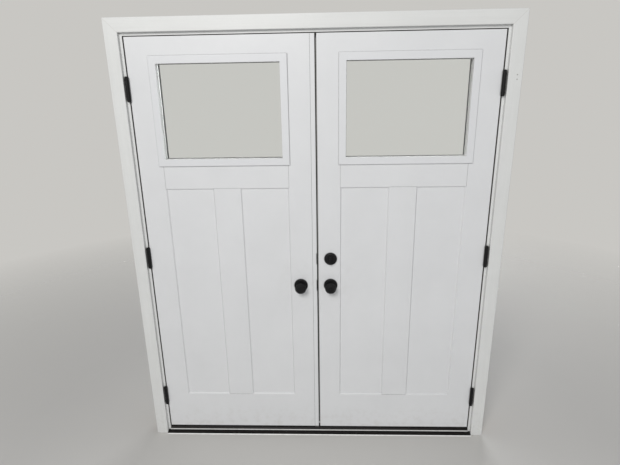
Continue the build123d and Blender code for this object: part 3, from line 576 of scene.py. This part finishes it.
def light_frame_plastic():
    """Moulded plastic frame round the glass: finer and a little glossier than the paint."""
    finish = Finish("light_frame_plastic")
    # Painted shade in gaps and along the frame's edges
    moulded = finish.crevice_shaded(cloudy(finish, LIGHT_FRAME_WHITE, 0.025), corners=0.9)
    walls = reveal_walls(finish)
    outdoors = finish.above(finish.axis("Y"), LEAF_HIGH.y / 2)
    # Walls beside the glass darkened with painted shade; the outdoor ones are then made black
    shaded_reveal = finish.mix(walls, moulded, REVEAL_SHADE)
    finish.set("Base Color", finish.mix(finish.times(walls, outdoors), shaded_reveal, SEALANT_BLACK))
    grain = finish.noise(1400, detail=1)
    finish.set("Normal", finish.relief(grain, 0.02 * MILLIMETRE))
    gloss = finish.spread(finish.noise(12, detail=3), 0.34, 0.44)
    finish.set("Roughness", finish.plus(gloss, finish.times(walls, 0.45)))
    return finish.material


# Metals, glass and rubber

def matt_black():
    """Powder-coated hardware, rubbed a little on its edges."""
    finish = Finish("hardware_black")
    rubbing = finish.noise(240, detail=4, roughness=0.7)
    worn = finish.edges(RUBBED_EDGE)
    worn = finish.times(worn, finish.spots(rubbing, start=0.45, full=0.70))
    specks = finish.noise(900, detail=2)
    base = finish.mix(finish.spots(specks, start=0.4, full=0.7), MATT_BLACK, BLACK_SPECK)
    finish.set("Base Color", finish.mix(finish.times(worn, 0.6), base, RUBBED_METAL))
    finish.set("Roughness", finish.spread(finish.noise(60, detail=3), 0.42, 0.56))
    finish.set("Metallic", finish.times(worn, 0.8))
    finish.set("Specular IOR Level", 0.20)
    finish.set("Normal", finish.relief(specks, 0.03 * MILLIMETRE))
    return finish.material


def satin_steel(name, colour, strokes, metallic=1.0):
    """Brushed metal with fine scratches in one direction."""
    finish = Finish(name)
    scratches = finish.noise(strokes, detail=3, roughness=0.7)
    stains = finish.noise(18, detail=4, roughness=0.6)
    shade = finish.plus(finish.times(scratches, 0.5), finish.times(stains, 0.5))
    dulled = scaled(colour, 0.72)
    finish.set("Base Color", finish.mix(finish.between(shade, *NOISE_MIDDLE), dulled, colour))
    finish.set("Metallic", metallic)
    finish.set("Roughness", finish.spread(scratches, 0.28, 0.44))
    finish.set("Normal", finish.relief(scratches, 0.02 * MILLIMETRE))
    return finish.material


def sill_aluminium():
    """Mill-finish extrusion: a painted highlight along the lower front, painted shade on the lip
    above it, and ribs outdoors.
    """
    finish = Finish("sill_aluminium")
    scratches = finish.noise((8, 900, 900), detail=3, roughness=0.7)
    wave = finish.math("SINE", finish.times(finish.axis("Y"), 2 * pi / RIB_PITCH))
    on_slope = finish.above(finish.axis("Y"), face_of("sill_cap", 1, 1) + RIB_SET_BACK)
    ribs = finish.times(finish.between(wave, -0.3, 0.3), on_slope)
    dusty = finish.noise(45, detail=5, roughness=0.7)
    dusty = finish.between(dusty, 0.42, 0.66, 0.05, 0.55)
    room_side = finish.below(finish.axis("Y"), 0.0)
    front = finish.below(finish.axis("Y"), face_of("sill_deck", 1, 0) + SILL_FRONT)
    low_down = finish.below(finish.axis("Z"), face_of("sill_nosing", 2, 1) + SILL_LINE)
    # Painted highlight on the deck's lower front; painted shade on the room side above it
    rubbed = finish.times(front, low_down)
    lip_shade = finish.times(room_side, finish.minus(1.0, low_down))
    aluminium = finish.mix(rubbed, MILL_ALUMINIUM, ALUMINIUM_HIGHLIGHT)
    aluminium = finish.mix(finish.times(dusty, 0.5), aluminium, DUST)
    finish.set("Base Color", finish.mix(finish.times(lip_shade, 0.9), aluminium, SILL_BROWN))
    dull = finish.times(finish.plus(rubbed, lip_shade), 0.4)
    bare_metal = finish.minus(0.50, finish.times(dusty, 0.3))
    finish.set("Metallic", finish.math("SUBTRACT", bare_metal, dull, clamp=True))
    finish.set("Roughness", finish.spread(scratches, 0.40, 0.56))
    fine = finish.relief(scratches, 0.02 * MILLIMETRE)
    finish.set("Normal", finish.relief(ribs, 0.7 * MILLIMETRE, fine))
    return finish.material


def dark_moulding(name, colour, rough, dust):
    """Dark plastic or coated metal near the floor, with dust lying on it."""
    finish = Finish(name)
    specks = finish.noise(700, detail=3, roughness=0.6)
    lint = finish.noise((30, 90, 90), detail=5, roughness=0.75)
    upward = finish.between(finish.facing("Z"), 0.2, SQUARE_ON)
    lying = finish.times(upward, finish.spots(lint, start=0.45, full=0.72, amount=dust))
    finish.set("Base Color", finish.mix(lying, cloudy(finish, colour, 0.25), DUST))
    finish.set("Roughness", finish.spread(specks, rough, rough + 0.12))
    finish.set("Specular IOR Level", 0.15)
    finish.set("Normal", finish.relief(specks, 0.05 * MILLIMETRE))
    return finish.material


def foam_seal():
    """White skinned foam: tiny pores and soft creases."""
    finish = Finish("seal_white")
    pores = finish.noise(1500, detail=2)
    finish.set("Base Color", finish.mix(finish.between(pores, 0.25, 0.6), FOAM_PORE, FOAM_WHITE))
    finish.set("Roughness", 0.82)
    creases = finish.relief(finish.noise((120, 120, 30), detail=3), 0.25 * MILLIMETRE)
    finish.set("Normal", finish.relief(pores, 0.06 * MILLIMETRE, creases))
    return finish.material


def clear_glass():
    """Float glass with a faint green body and a breath of dust; it lets lamps through."""
    finish = Finish("glass")
    finish.set("Base Color", GLASS_TINT)
    finish.set("Transmission Weight", 1.0)
    finish.set("IOR", 1.5)
    breath = finish.noise(40, detail=5, roughness=0.7)
    finish.set("Roughness", finish.spots(breath, start=0.45, full=0.75, amount=0.03))
    let_through = finish.add("BsdfTransparent")
    let_through.inputs["Color"].default_value = (*GLASS_TINT, 1)
    choose = finish.add("MixShader")
    finish.feed(choose.inputs[0], finish.add("LightPath").outputs["Is Shadow Ray"])
    finish.feed(choose.inputs[1], finish.shader.outputs["BSDF"])
    finish.feed(choose.inputs[2], let_through.outputs[0])
    finish.show(choose.outputs[0])
    return finish.material


def sealant():
    """Black butyl with a rippled, half-gloss surface."""
    finish = Finish("sealant_black")
    ripples = finish.noise(160, detail=3)
    finish.set("Base Color", cloudy(finish, SEALANT_BLACK, 0.3))
    finish.set("Roughness", finish.spread(ripples, 0.45, 0.65))
    finish.set("Normal", finish.relief(ripples, 0.2 * MILLIMETRE))
    return finish.material


def filler():
    """Grey filler, a little uneven."""
    finish = Finish("nail_filler")
    finish.set("Base Color", cloudy(finish, NAIL_FILLER, 0.2))
    finish.set("Roughness", finish.spread(finish.noise(300), 0.6, 0.75))
    return finish.material


def paint_the_nodes():
    """Give every CAD node the finish of its material slot; woods get theirs by direction."""
    finishes = {
        "leaf_paint": leaf_paint(),
        "frame_paint": brushed_paint("frame_paint", FRAME_WHITE, ALONG_Z, raw_backs),
        "casing_paint": brushed_paint("casing_paint", CASING_WHITE, ALONG_Z, raw_wall_side),
        "light_frame_plastic": light_frame_plastic(),
        "glass": clear_glass(),
        "spacer_steel": satin_steel("spacer_steel", SPACER_ALUMINIUM, (900, 60, 900), metallic=0.4),
        "seal_white": foam_seal(),
        "sweep_vinyl": dark_moulding("sweep_vinyl", VINYL_BLACK, rough=0.50, dust=0.05),
        "sill_composite": dark_moulding("sill_composite", SILL_BROWN, rough=0.60, dust=0.30),
        "sill_aluminium": sill_aluminium(),
        "sill_cap_dark": dark_moulding("sill_cap_dark", SILL_BROWN, rough=0.42, dust=0.05),
        "nosing_dark": dark_moulding("nosing_dark", BRONZE_DARK, rough=0.38, dust=0.04),
        "hardware_black": matt_black(),
        "key_steel": satin_steel("key_steel", SATIN_STEEL, (60, 900, 900)),
    }
    jamb_head = brushed_paint("frame_paint_across", FRAME_WHITE, ALONG_X, raw_backs)
    casing_head = brushed_paint("casing_paint_across", CASING_WHITE, ALONG_X, raw_wall_side)
    moulding_head = brushed_paint("brickmould_paint_across", FRAME_WHITE, ALONG_X, raw_room_side)
    moulding_side = brushed_paint("brickmould_paint", FRAME_WHITE, ALONG_Z, raw_room_side)
    by_node = {
        "jamb_head": jamb_head,
        "casing_head": casing_head,
        "brickmould_head": moulding_head,
        "brickmould_left": moulding_side,
        "brickmould_right": moulding_side,
    }
    for part in frame["record"]["subparts"]:
        node = nodes[part["node"]]
        finish = by_node.get(part["node"], finishes[part["material_slot"]])
        for place in range(len(node.material_slots)):
            node.material_slots[place].material = finish
    return finishes


# Small pieces

def add_piece(name, mesh, body, finish):
    """Turn finished mesh work into one piece that rides on a body."""
    bmesh.ops.recalc_face_normals(mesh, faces=mesh.faces)
    data = bpy.data.meshes.new(name)
    mesh.to_mesh(data)
    mesh.free()
    data.materials.append(finish)
    piece = bpy.data.objects.new(name, data)
    bpy.context.scene.collection.objects.link(piece)
    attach(piece, body)


def turned(point, angle):
    x, y = point
    return (x * cos(angle) - y * sin(angle), x * sin(angle) + y * cos(angle))


def circle(count):
    """Points round a circle of radius 1."""
    return [turned((1, 0), step * 2 * pi / count) for step in range(count)]


def cross_outline(arm):
    """Corners of a cross recess, going round."""
    half = arm * SCREW_CROSS_ARM
    quarter = [(arm, -half), (arm, half), (half, half)]
    return [turned(point, step * pi / 2) for step in range(4) for point in quarter]


def slot_outline(width, height):
    """Corners of a straight slot, going round."""
    x, y = width / 2, height / 2
    return [(x, -y), (x, y), (-x, y), (-x, -y)]


def wall(mesh, lower, upper):
    """Faces between two loops of as many points."""
    for step in range(len(lower)):
        after = (step + 1) % len(lower)
        mesh.faces.new((lower[step], lower[after], upper[after], upper[step]))


def recessed_disc(mesh, centre, outward, angle, radius, height, outline, depth):
    """A low disc with a bevelled rim and a recess sunk in its face."""
    turn = outward.to_track_quat("Z", "Y").to_matrix().to_4x4()
    place = Matrix.Translation(centre) @ turn @ Matrix.Rotation(angle, 4, "Z")
    rim = circle(DISC_SIDES)
    bevel = min(height, DISC_RIM_BEVEL * radius)

    def ring(points, scale, z):
        return [mesh.verts.new(place @ Vector((x * scale, y * scale, z))) for x, y in points]

    foot = ring(rim, radius, -height)
    shoulder = ring(rim, radius, height - bevel)
    crown = ring(rim, radius - bevel, height)
    mouth = ring(outline, 1.0, height)
    floor = ring(outline, RECESS_TAPER, height - depth)
    mesh.faces.new(list(reversed(foot)))
    wall(mesh, foot, shoulder)
    wall(mesh, shoulder, crown)
    wall(mesh, mouth, floor)
    mesh.faces.new(floor)
    loops = [
        mesh.edges.get((points[step], points[(step + 1) % len(points)]))
        for points in (crown, mouth) for step in range(len(points))
    ]
    bmesh.ops.triangle_fill(mesh, use_beauty=True, use_dissolve=False, edges=loops)


def screws(name, body, places, finish):
    """Flat-headed screws, each given by its centre and outward direction."""
    mesh = bmesh.new()
    cross = cross_outline(SCREW_CROSS_REACH)
    for index, (centre, outward) in enumerate(places):
        recessed_disc(
            mesh, Vector(centre), Vector(outward), radians(SCREW_TURN_DEGREES * index),
            SCREW_RADIUS, SCREW_PROUD, cross, SCREW_RECESS_DEPTH,
        )
    add_piece(name, mesh, body, finish)


def islands(node):
    """Lowest and highest corner of each loose part of a CAD node."""
    mesh = bmesh.new()
    mesh.from_mesh(nodes[node].data)
    bmesh.ops.remove_doubles(mesh, verts=mesh.verts, dist=SAME_POINT)
    boxes, left = [], set(mesh.verts)
    while left:
        todo, found = [left.pop()], []
        while todo:
            vertex = todo.pop()
            found.append(vertex.co.copy())
            for edge in vertex.link_edges:
                other = edge.other_vert(vertex)
                if other in left:
                    left.discard(other)
                    todo.append(other)
        low = Vector([min(point[i] for point in found) for i in range(3)])
        high = Vector([max(point[i] for point in found) for i in range(3)])
        boxes.append((low, high))
    mesh.free()
    return sorted(boxes, key=lambda box: (box[0].x, box[0].z))


def hinge_screws(finish):
    """Four screws in each hinge plate, on the face that its partner closes on.

    That face looks away from the doorway's middle (1) on a leaf and towards it (-1) on a jamb.
    """
    for node, body, face, away in (
        ("jamb_hinge_plates", "frame", JAMB_FACE, -1),
        ("left_hinge_plates", "left_leaf", LEAF_HIGH.x, 1),
        ("right_hinge_plates", "right_leaf", LEAF_HIGH.x, 1),
    ):
        places = []
        for low, high in islands(node):
            side = 1 if low.x > 0 else -1
            for share, y in HINGE_SCREWS:
                z = low.z + share * (high.z - low.z)
                places.append(((side * face, y, z), (side * away, 0, 0)))
        screws(f"{body}_hinge_screws", body, places, finish)


def finish_screws(finish):
    """Two screws in each strike and each bolt faceplate; the faceplates lean with the edge."""
    strike_places, plate_places = [], []
    for node in ("latch_strike", "deadbolt_strike"):
        low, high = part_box(node)
        for z in (low.z + STRIKE_SCREW_INSET, high.z - STRIKE_SCREW_INSET):
            strike_places.append(((high.x, STRIKE_SCREW_Y, z), (1, 0, 0)))
    slope = LOCK_BEVEL / (LEAF_HIGH.y - LEAF_LOW.y)
    for node in ("latch_case", "deadbolt_case"):
        low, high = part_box(node)
        middle_y = (low.y + high.y) / 2
        face_x = low.x + slope * (middle_y - low.y)
        for z in (low.z + FACEPLATE_SCREW_INSET, high.z - FACEPLATE_SCREW_INSET):
            plate_places.append(((face_x, middle_y, z), (-1, slope, 0)))
    screws("strike_screws", "left_leaf", strike_places, finish)
    screws("faceplate_screws", "right_leaf", plate_places, finish)


def key_face(finish):
    """Keyhole disc in the head of the outdoor knob."""
    low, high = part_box("knob_outside")
    middle = (low + high) / 2
    centre = Vector((middle.x, high.y - KEY_DISC_SUNK, middle.z))
    mesh = bmesh.new()
    recessed_disc(
        mesh, centre, Vector((0, 1, 0)), 0.0, KEY_DISC_RADIUS, KEY_DISC_HEIGHT,
        slot_outline(KEY_SLOT_WIDTH, KEY_SLOT_HEIGHT), KEY_SLOT_DEPTH,
    )
    add_piece("knob_key_face", mesh, "knob_set", finish)


def rectangle_ring(mesh, middle, half_width, half_height, inward, near, far):
    """A rectangular frame between two depths; inward is its thickness towards the middle."""
    loops = []
    for shrink, y in ((0, near), (inward, near), (inward, far), (0, far)):
        corners = [
            (middle.x + x * (half_width - shrink), y, middle.z + z * (half_height - shrink))
            for x, z in ((-1, -1), (1, -1), (1, 1), (-1, 1))
        ]
        loops.append([mesh.verts.new(corner) for corner in corners])
    for index, loop in enumerate(loops):
        wall(mesh, loop, loops[(index + 1) % len(loops)])


def glazing_seals(side, finish):
    """Black lines of sealant along both edges of the spacer, a thin bead on each glass face."""
    spacer_low, spacer_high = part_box(f"{side}_glass_spacer")
    glass_low, glass_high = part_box(f"{side}_glass_panes")
    middle = (spacer_low + spacer_high) / 2
    half_width = (spacer_high.x - spacer_low.x) / 2 - SPACER_WIDTH
    half_height = (spacer_high.z - spacer_low.z) / 2 - SPACER_WIDTH
    mesh = bmesh.new()
    for near, far in (
        (spacer_low.y, spacer_low.y + ROOM_SEALANT),
        (spacer_high.y - OUTDOOR_SEALANT, spacer_high.y),
    ):
        rectangle_ring(mesh, middle, half_width, half_height, SEALANT_SKIN, near, far)
    sight_half_width = half_width - SPACER_SET_BACK
    sight_half_height = half_height - SPACER_SET_BACK
    for near, far in (
        (glass_low.y - GLASS_BEAD, glass_low.y),
        (glass_high.y, glass_high.y + GLASS_BEAD),
    ):
        rectangle_ring(mesh, middle, sight_half_width, sight_half_height, GLASS_BEAD, near, far)
    add_piece(f"{side}_glazing_seal", mesh, f"{side}_leaf", finish)


def filled_nail_marks(finish):
    """Shallow filler spots over two finishing nails in the right casing."""
    casing_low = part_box("casing_right")[0]
    mesh = bmesh.new()
    for z in NAIL_HEIGHTS:
        centre = Vector((casing_low.x + NAIL_FROM_EDGE, casing_low.y, z))
        dome(mesh, centre, NAIL_MARK_RADIUS, NAIL_MARK_HEIGHT)
    add_piece("casing_nail_marks", mesh, "frame", finish)


def dome(mesh, centre, radius, height):
    """A low spot standing on a face that looks towards the room."""
    loops = []
    for index in range(DOME_RINGS):
        angle = index / DOME_RINGS * pi / 2
        scale, rise = radius * cos(angle), height * sin(angle)
        loops.append([
            mesh.verts.new(centre + Vector((scale * x, -rise, scale * z)))
            for x, z in circle(DOME_SIDES)
        ])
    for lower, upper in zip(loops, loops[1:]):
        wall(mesh, lower, upper)
    mesh.faces.new(loops[-1])
    mesh.faces.new(list(reversed(loops[0])))


# Stage

def add_floor():
    """Pale floor that fades into the backdrop away from the doors."""
    finish = Finish("floor_pale")
    mottled = finish.noise(2.0, detail=5, roughness=0.6)
    finish.set("Base Color", finish.mix(mottled, scaled(FLOOR_PALE, 0.97), FLOOR_PALE))
    finish.set("Roughness", 0.7)
    away = finish.add("VectorMath")
    away.operation = "LENGTH"
    finish.feed(away.inputs[0], finish.place)
    clear = finish.add("BsdfTransparent")
    choose = finish.add("MixShader")
    finish.feed(choose.inputs[0], finish.between(away.outputs["Value"], *FLOOR_FADE))
    finish.feed(choose.inputs[1], finish.shader.outputs["BSDF"])
    finish.feed(choose.inputs[2], clear.outputs[0])
    finish.show(choose.outputs[0])
    mesh = bmesh.new()
    bmesh.ops.create_circle(mesh, cap_ends=True, segments=FLOOR_SIDES, radius=FLOOR_RADIUS)
    data = bpy.data.meshes.new("floor")
    mesh.to_mesh(data)
    mesh.free()
    data.materials.append(finish.material)
    floor = bpy.data.objects.new("floor", data)
    floor.location.z = -FLOOR_DROP
    bpy.context.scene.collection.objects.link(floor)


def add_backdrop():
    """An even pale surround: plain to the camera and in reflections, softer as a lamp."""
    world = bpy.data.worlds.new("surround")
    bpy.context.scene.world = world
    world.use_nodes = True
    tree = world.node_tree
    tree.nodes.clear()
    output = tree.nodes.new("ShaderNodeOutputWorld")
    lamp = tree.nodes.new("ShaderNodeBackground")
    lamp.inputs["Color"].default_value = (*SURROUND_TINT, 1)
    lamp.inputs["Strength"].default_value = SURROUND_LIGHT
    shown = tree.nodes.new("ShaderNodeBackground")
    shown.inputs["Color"].default_value = (*BACKDROP_PALE, 1)
    shown.inputs["Strength"].default_value = 1.0
    rays = tree.nodes.new("ShaderNodeLightPath")
    seen = rays.outputs["Is Camera Ray"]
    for other in ("Is Glossy Ray", "Is Transmission Ray"):
        either = tree.nodes.new("ShaderNodeMath")
        either.operation = "MAXIMUM"
        tree.links.new(seen, either.inputs[0])
        tree.links.new(rays.outputs[other], either.inputs[1])
        seen = either.outputs[0]
    choose = tree.nodes.new("ShaderNodeMixShader")
    tree.links.new(seen, choose.inputs[0])
    tree.links.new(lamp.outputs[0], choose.inputs[1])
    tree.links.new(shown.outputs[0], choose.inputs[2])
    tree.links.new(choose.outputs[0], output.inputs["Surface"])


def add_lamp(name, place, target, size, watts, colour, mirrored=True):
    """A soft square lamp, hidden from the camera, and from reflections unless mirrored."""
    data = bpy.data.lights.new(name, "AREA")
    data.shape = "SQUARE"
    data.size = size
    data.energy = watts
    data.color = colour
    lamp = bpy.data.objects.new(name, data)
    turn = (Vector(target) - Vector(place)).to_track_quat("-Z", "Y").to_matrix()
    lamp.matrix_world = Matrix.Translation(place) @ turn.to_4x4()
    lamp.visible_camera = False
    lamp.visible_transmission = False
    lamp.visible_glossy = mirrored
    bpy.context.scene.collection.objects.link(lamp)


bpy.context.scene.view_settings.view_transform = "Standard"
add_camera()
finishes = paint_the_nodes()
hinge_screws(finishes["hardware_black"])
finish_screws(finishes["hardware_black"])
key_face(finishes["key_steel"])
black_sealant = sealant()
for side in ("left", "right"):
    glazing_seals(side, black_sealant)
filled_nail_marks(filler())
add_floor()
add_backdrop()
add_lamp(
    "key", place=(-1.0, -3.9, 3.8), target=(0.2, 0, 0.8),
    size=1.7, watts=140, colour=(1.0, 0.99, 0.97),
)
add_lamp(
    "fill", place=(0.9, -4.6, 1.1), target=(0.3, 0, 0.5),
    size=2.0, watts=38, colour=(0.96, 0.98, 1.0), mirrored=False,
)
add_lamp(
    "outdoors", place=(1.2, 4.8, 2.4), target=(0, 0, 1.0),
    size=2.4, watts=110, colour=(0.97, 0.98, 1.0),
)
